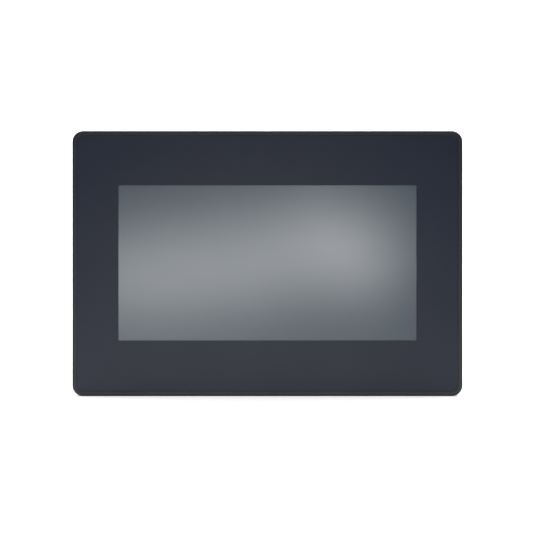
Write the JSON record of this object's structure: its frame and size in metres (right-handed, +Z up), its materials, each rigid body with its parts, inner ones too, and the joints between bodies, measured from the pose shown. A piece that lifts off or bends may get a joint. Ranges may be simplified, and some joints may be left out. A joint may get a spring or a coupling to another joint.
{
  "type": "hmi touch panel",
  "caption": "Panel-mounted operator touch screen with a resistive display in a flat dark bezel, screw clamps, and a stepped rear housing with a cable bay.",
  "frame": {"origin": "centre of the mounting plane, which is the rear face of the bezel's flange", "axes": "+X right as the operator sees it, +Y back into the cabinet, +Z up; the screen faces -Y"},
  "size_m": [0.2066, 0.0391, 0.1404],
  "materials": {
    "bezel_plastic": "fine-grained dark blue-grey",
    "overlay_print": "matt printed polyester",
    "touch_film_hard_coat": "anti-glare hard coat",
    "float_glass": "clear",
    "adhesive_tape": "black foam tape",
    "polyimide": "amber film",
    "module_foam": "closed-cell foam",
    "module_steel": "bright rolled sheet",
    "crystal_glass": "dark polarised glass",
    "diffuser_film": "white optical film",
    "acrylic": "clear acrylic",
    "lamp_board": "white",
    "tray_plastic": "white moulded",
    "zinc_steel": "zinc plated",
    "screw_steel": "bright zinc plated",
    "seal_rubber": "matt black",
    "board_laminate": "green solder mask",
    "brass_nickel": "nickel-plated brass",
    "chip_epoxy": "black epoxy",
    "black_anodised": "black anodised",
    "inductor_ferrite": "grey-black ferrite",
    "capacitor_can": "bright aluminium",
    "passive_ceramic": "tan ceramic",
    "buzzer_plastic": "black",
    "holder_plastic": "black",
    "cell_steel": "bright steel",
    "socket_plastic": "ivory",
    "port_shield": "nickel-plated steel",
    "terminal_green": "green polyamide",
    "switch_red": "red",
    "slider_white": "white",
    "button_black": "black",
    "cover_plastic": "spark-eroded texture, dark grey",
    "label_polyester": "silver-grey print",
    "clamp_zinc": "black painted zinc casting",
    "foot_plastic": "black polyamide"
  },
  "bodies": {
    "panel": {"front_bezel": "bezel_plastic", "front_overlay": "overlay_print", "touch_film": "touch_film_hard_coat", "touch_glass": "float_glass", "touch_tape": "adhesive_tape", "touch_tail": "polyimide", "lcd_gasket": "module_foam", "lcd_frame": "module_steel", "lcd_cell": "crystal_glass", "lcd_diffuser": "diffuser_film", "lcd_light_guide": "acrylic", "lcd_lamp_bar": "lamp_board", "lcd_tray": "tray_plastic", "lcd_flex": "polyimide", "display_bracket": "zinc_steel", "bracket_screws": "screw_steel", "panel_gasket": "seal_rubber", "main_board": "board_laminate", "board_standoffs": "brass_nickel", "board_screws": "screw_steel", "processor": "chip_epoxy", "heat_sink": "black_anodised", "board_chips": "chip_epoxy", "power_inductors": "inductor_ferrite", "capacitors": "capacitor_can", "chip_passives": "passive_ceramic", "buzzer": "buzzer_plastic", "cell_holder": "holder_plastic", "coin_cell": "cell_steel", "flex_sockets": "socket_plastic", "ethernet_jack": "port_shield", "usb_host_port": "port_shield", "usb_device_port": "port_shield", "com_port": "port_shield", "jack_screws": "screw_steel", "power_header": "terminal_green", "dip_switch": "switch_red", "reset_switch": "chip_epoxy", "rear_cover": "cover_plastic", "cover_screws": "screw_steel", "rating_label": "label_polyester"},
    "supply_plug": {"power_plug": "terminal_green", "plug_screws": "screw_steel"},
    "battery_hatch": {"battery_cover": "cover_plastic"},
    "reset_key": {"reset_button": "button_black"},
    "setting_slider_1": {"dip_slider_1": "slider_white"},
    "setting_slider_2": {"dip_slider_2": "slider_white"},
    "clamp_1_block": {"clamp_1_bracket": "clamp_zinc"},
    "clamp_1_pad": {"clamp_1_foot": "foot_plastic"},
    "clamp_1_bolt": {"clamp_1_screw": "screw_steel"},
    "clamp_2_block": {"clamp_2_bracket": "clamp_zinc"},
    "clamp_2_pad": {"clamp_2_foot": "foot_plastic"},
    "clamp_2_bolt": {"clamp_2_screw": "screw_steel"},
    "clamp_3_block": {"clamp_3_bracket": "clamp_zinc"},
    "clamp_3_pad": {"clamp_3_foot": "foot_plastic"},
    "clamp_3_bolt": {"clamp_3_screw": "screw_steel"},
    "clamp_4_block": {"clamp_4_bracket": "clamp_zinc"},
    "clamp_4_pad": {"clamp_4_foot": "foot_plastic"},
    "clamp_4_bolt": {"clamp_4_screw": "screw_steel"}
  },
  "joints": [
    {"name": "plug_pull", "type": "slide", "parent": "panel", "child": "supply_plug", "axis": [0, 0, -1], "range_m": [0, 0.014]},
    {"name": "battery_cover_slide", "type": "slide", "parent": "panel", "child": "battery_hatch", "axis": [0, 0, 1], "range_m": [0, 0.036]},
    {"name": "reset_press", "type": "slide", "parent": "panel", "child": "reset_key", "axis": [0, 0, 1], "range_m": [0, 0.0005], "stiffness_N_per_m": 3200, "springref_m": -0.0005},
    {"name": "dip_1_slide", "type": "slide", "parent": "panel", "child": "setting_slider_1", "axis": [0, 1, 0], "range_m": [0, 0.0018]},
    {"name": "dip_2_slide", "type": "slide", "parent": "panel", "child": "setting_slider_2", "axis": [0, 1, 0], "range_m": [0, 0.0018]},
    {"name": "clamp_1_slide", "type": "slide", "parent": "panel", "child": "clamp_1_block", "axis": [0, -1, 0], "range_m": [0, 0.0015]},
    {"name": "clamp_1_drive", "type": "slide", "parent": "clamp_1_block", "child": "clamp_1_pad", "axis": [0, -1, 0], "range_m": [-0.001, 0.0036]},
    {"name": "clamp_1_turn", "type": "hinge", "parent": "clamp_1_pad", "child": "clamp_1_bolt", "pos_m": [-0.078, 0.02, 0.0657], "axis": [0, -1, 0], "range_deg": [-520, 1880]},
    {"name": "clamp_2_slide", "type": "slide", "parent": "panel", "child": "clamp_2_block", "axis": [0, -1, 0], "range_m": [0, 0.0015]},
    {"name": "clamp_2_drive", "type": "slide", "parent": "clamp_2_block", "child": "clamp_2_pad", "axis": [0, -1, 0], "range_m": [-0.001, 0.0036]},
    {"name": "clamp_2_turn", "type": "hinge", "parent": "clamp_2_pad", "child": "clamp_2_bolt", "pos_m": [0.078, 0.02, 0.0657], "axis": [0, -1, 0], "range_deg": [-520, 1880]},
    {"name": "clamp_3_slide", "type": "slide", "parent": "panel", "child": "clamp_3_block", "axis": [0, -1, 0], "range_m": [0, 0.0015]},
    {"name": "clamp_3_drive", "type": "slide", "parent": "clamp_3_block", "child": "clamp_3_pad", "axis": [0, -1, 0], "range_m": [-0.001, 0.0036]},
    {"name": "clamp_3_turn", "type": "hinge", "parent": "clamp_3_pad", "child": "clamp_3_bolt", "pos_m": [0.078, 0.02, -0.0657], "axis": [0, -1, 0], "range_deg": [-520, 1880]},
    {"name": "clamp_4_slide", "type": "slide", "parent": "panel", "child": "clamp_4_block", "axis": [0, -1, 0], "range_m": [0, 0.0015]},
    {"name": "clamp_4_drive", "type": "slide", "parent": "clamp_4_block", "child": "clamp_4_pad", "axis": [0, -1, 0], "range_m": [-0.001, 0.0036]},
    {"name": "clamp_4_turn", "type": "hinge", "parent": "clamp_4_pad", "child": "clamp_4_bolt", "pos_m": [-0.078, 0.02, -0.0657], "axis": [0, -1, 0], "range_deg": [-520, 1880]}
  ],
  "couplings": [
    {"joint": "clamp_1_turn", "follows": "clamp_1_drive", "rad_per_m": 8976},
    {"joint": "clamp_2_turn", "follows": "clamp_2_drive", "rad_per_m": 8976},
    {"joint": "clamp_3_turn", "follows": "clamp_3_drive", "rad_per_m": 8976},
    {"joint": "clamp_4_turn", "follows": "clamp_4_drive", "rad_per_m": 8976}
  ]
}
